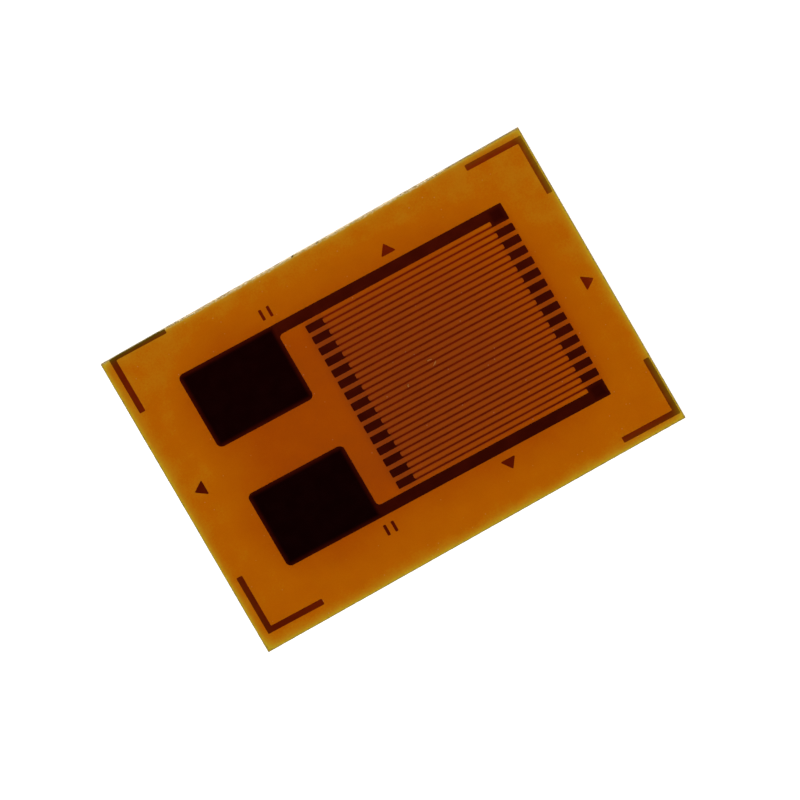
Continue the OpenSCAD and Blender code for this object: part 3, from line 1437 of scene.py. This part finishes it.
@dataclass
class Studio:
    """White floor that glows a little, a tent of soft light that is dark overhead, and the camera.

    Attributes:
        azimuth: The camera's azimuth in degrees: 0 looks along +Y.
        elevation: Its elevation in degrees: past 90 it leans over to the far side.
        aim: Point of the gauge in the middle of the image.
        view_w: Width of the view at that point.
        lens: Focal length, in millimetres of a sensor of sensor_w.
        sensor_w: Width of that sensor, in millimetres.
        floor_half: Half of the floor's side.
        floor_drop: Gap between the floor and the gauge.
        floor_white: Share of the light that the floor gives back.
        floor_glow: Light that the floor gives by itself.
        floor_rough: Roughness of the floor.
        light: Strength of the tent's light.
        tent: Brightness of the tent by the sine of the elevation.
    """

    azimuth: float = -29.2
    elevation: float = 105.72
    aim: tuple[float, float, float] = (-0.9865 * MM, -0.2476 * MM, 0.05 * MM)
    view_w: float = 12.288 * MM
    lens: float = 1200.0
    sensor_w: float = 36.0
    floor_half: float = 0.25
    floor_drop: float = 8.0 * MICRON
    floor_white: float = 0.9
    floor_glow: float = 0.6
    floor_rough: float = 0.9
    light: float = 2.9
    tent: tuple[Span, ...] = (
        (0.0, 0.05), (0.60, 0.05), (0.67, 1.0), (0.80, 1.0), (0.87, 0.008), (1.0, 0.004))

    def build_floor(self) -> None:
        """Lay the floor just under the gauge."""
        count = 3
        span = np.linspace(-self.floor_half, self.floor_half, count)
        x, y = np.meshgrid(span, span)
        points = np.stack((x, y, np.full_like(x, -self.floor_drop)), axis=-1).reshape(-1, 3)
        number = np.arange(count * count).reshape(count, count)
        quads = np.stack((number[:-1, :-1], number[:-1, 1:], number[1:, 1:], number[1:, :-1]), axis=-1)
        floor = mesh_piece("floor", points, (quads.reshape(-1, 4),))
        floor.data.materials.append(Recipe("white_floor").surface({
            "Base Color": with_alpha((self.floor_white,) * 3),
            "Roughness": self.floor_rough,
            "Emission Color": with_alpha((1.0,) * 3),
            "Emission Strength": self.floor_glow,
        }))

    def build_light(self) -> None:
        """Hang the tent: a world whose brightness goes with the elevation."""
        world = bpy.data.worlds.new("soft_tent")
        world.use_nodes = True
        nodes, links = world.node_tree.nodes, world.node_tree.links
        place = nodes.new("ShaderNodeTexCoord")
        split = nodes.new("ShaderNodeSeparateXYZ")
        ramp = nodes.new("ShaderNodeValToRGB")
        while len(ramp.color_ramp.elements) < len(self.tent):
            ramp.color_ramp.elements.new(1.0)
        for element, (position, bright) in zip(ramp.color_ramp.elements, self.tent):
            element.position = position
            element.color = with_alpha((bright,) * 3)
        sky = nodes["Background"]
        sky.inputs["Strength"].default_value = self.light
        links.new(place.outputs["Generated"], split.inputs[0])
        links.new(split.outputs[2], ramp.inputs[0])
        links.new(ramp.outputs[0], sky.inputs["Color"])
        bpy.context.scene.world = world

    def build_camera(self) -> None:
        """Stand the camera back along its azimuth and elevation, as far as the lens needs for the view."""
        nearest, furthest = 0.01, 10.0
        turn, rise = math.radians(self.azimuth), math.radians(self.elevation)
        ahead = Vector((-math.sin(turn), math.cos(turn), 0.0))
        level = Vector((0.0, 0.0, 1.0))
        back = level * math.sin(rise) - ahead * math.cos(rise)
        up = level * math.cos(rise) + ahead * math.sin(rise)
        away = self.view_w * self.lens / self.sensor_w
        camera = bpy.data.objects.new("camera", bpy.data.cameras.new("camera"))
        camera.data.lens = self.lens
        camera.data.sensor_width = self.sensor_w
        camera.data.clip_start = away * nearest
        camera.data.clip_end = away * furthest
        camera.rotation_mode = "QUATERNION"
        camera.rotation_quaternion = Matrix((up.cross(back), up, back)).transposed().to_quaternion()
        camera.location = Vector(self.aim) + back * away
        bpy.context.scene.collection.objects.link(camera)
        bpy.context.scene.camera = camera

    def build(self) -> None:
        """Set up the floor, the light, the camera and a plain rendering of colours."""
        self.build_floor()
        self.build_light()
        self.build_camera()
        bpy.context.scene.view_settings.view_transform = "Standard"


@dataclass
class StrainGauge:
    """The whole gauge: the film, the crust on its torn cut, the foil and a few specks of dust.

    Attributes:
        metal: Colour of the resistor's foil.
        tab: Colour of its solder tabs away from their edges, painted darker as shade where the film's light
            does not spread under the wide foil.
        block: Colour of its corner blocks away from their edges, painted darker as shade in the same way.
        line: Colour of its fine lines, which light from the film spills over.
        mark: Colour of the arrows' and ticks' foil.
        trim: Colour of the trim marks' foil.
        cut_trim: Colour of the trim mark that the knife went through, at the cut: painted light that gets in
            there.
        tab_soft: How far inside the edges of a tab or block its own colour is reached; the lighter colour
            nearer the edges is painted light that spreads in from the film.
        line_soft: How far from the loops the lines' own colour is reached.
        resistor_lean: How much brighter the resistor gets along X and Y, as a share for each metre, as
            painted light.
        mark_lean: The same for the arrows and ticks.
    """

    metal: Colour = (0.080, 0.0057, 0.0008)
    tab: Colour = (0.011, 0.0003, 0.0002)
    block: Colour = (0.045, 0.0025, 0.0004)
    line: Colour = (0.238, 0.0165, 0.0008)
    mark: Colour = (0.235, 0.0165, 0.0008)
    trim: Colour = (0.272, 0.0200, 0.0008)
    cut_trim: Colour = (0.165, 0.120, 0.0045)
    tab_soft: float = 0.09 * MM
    line_soft: float = 0.04 * MM
    resistor_lean: Span = (0.035 / MM, 0.09 / MM)
    mark_lean: Span = (0.08 / MM, 0.09 / MM)

    def lint(self, rest: float) -> Specks:
        """Lay out the lint on the grid.

        Args:
            rest: Height that it rests at.

        Returns:
            The lint's slivers.
        """
        slivers = (
            Sliver((-0.280 * MM, 0.089 * MM), rest, -7.0, 0.085 * MM, 0.024 * MM, 0.006 * MM),
            Sliver((-0.236 * MM, 0.009 * MM), rest, 35.0, 0.090 * MM, 0.022 * MM, -0.006 * MM),
            Sliver((-0.760 * MM, -0.109 * MM), rest, 65.0, 0.055 * MM, 0.030 * MM, 0.003 * MM),
        )
        finish = DustFinish("tan_lint", (0.40, 0.140, 0.032), (0.29, 0.085, 0.015))
        return Specks("lint_specks", slivers, finish)

    def crumb(self, rest: float) -> Specks:
        """Lay out the dark crumb on the upper cut.

        Args:
            rest: Height that it rests at.

        Returns:
            The crumb's sliver.
        """
        sliver = Sliver((-1.310 * MM, 2.558 * MM), rest, 30.0, 0.050 * MM, 0.024 * MM, flat=0.3)
        finish = DustFinish("olive_crumb", (0.07, 0.055, 0.012), (0.03, 0.022, 0.006))
        return Specks("edge_crumb", (sliver,), finish)

    def build(self) -> None:
        """Make all the pieces, from the film up."""
        plan = FoilPlan()
        film = CarrierFilm(AmberFinish(plan.lines(), plan.pitch), plan)
        # Painted light and shade on the resistor: tabs and corner blocks painted darker, the fine lines
        # lighter.
        patches = (
            Patch(plan.upper_tab(), self.tab, self.tab_soft),
            Patch(plan.upper_block(), self.block, self.tab_soft),
            Patch(plan.lines(), self.line, self.line_soft),
        )
        resistor = FoilFinish("dark_foil", self.metal, patches, lean=self.resistor_lean)
        # The marks are painted lighter near the film's cuts, where light gets in.
        cuts = tuple(film.side(cut) for cut in Cut)
        mark = FoilFinish("brown_foil", self.mark, cuts=cuts, lean=self.mark_lean)
        trim = FoilFinish("trim_foil", self.trim, cuts=cuts)
        cut_trim = FoilFinish("cut_foil", self.trim, cuts=cuts, at_cut=self.cut_trim)
        marks = {
            "axis_arrow": mark,
            "tab_tick": mark,
            "trim_mark_far": trim,
            "trim_mark_tab_lower": trim,
            "trim_mark_tab_upper": cut_trim,
        }
        film.build()
        # The crust's pale colour is partly a painted highlight of the upper cut.
        TornWall(film, DustFinish("torn_resin", (0.97, 0.82, 0.55), (0.70, 0.52, 0.24))).build()
        FoilLayer(resistor, marks).build()
        self.lint(plan.high.z).build()
        self.crumb(film.outline.high).build()


def main() -> None:
    """Build the gauge and its studio."""
    logging.basicConfig(level=logging.INFO, format="%(name)s: %(message)s")
    Studio().build()
    StrainGauge().build()


if __name__ == "__main__":
    main()
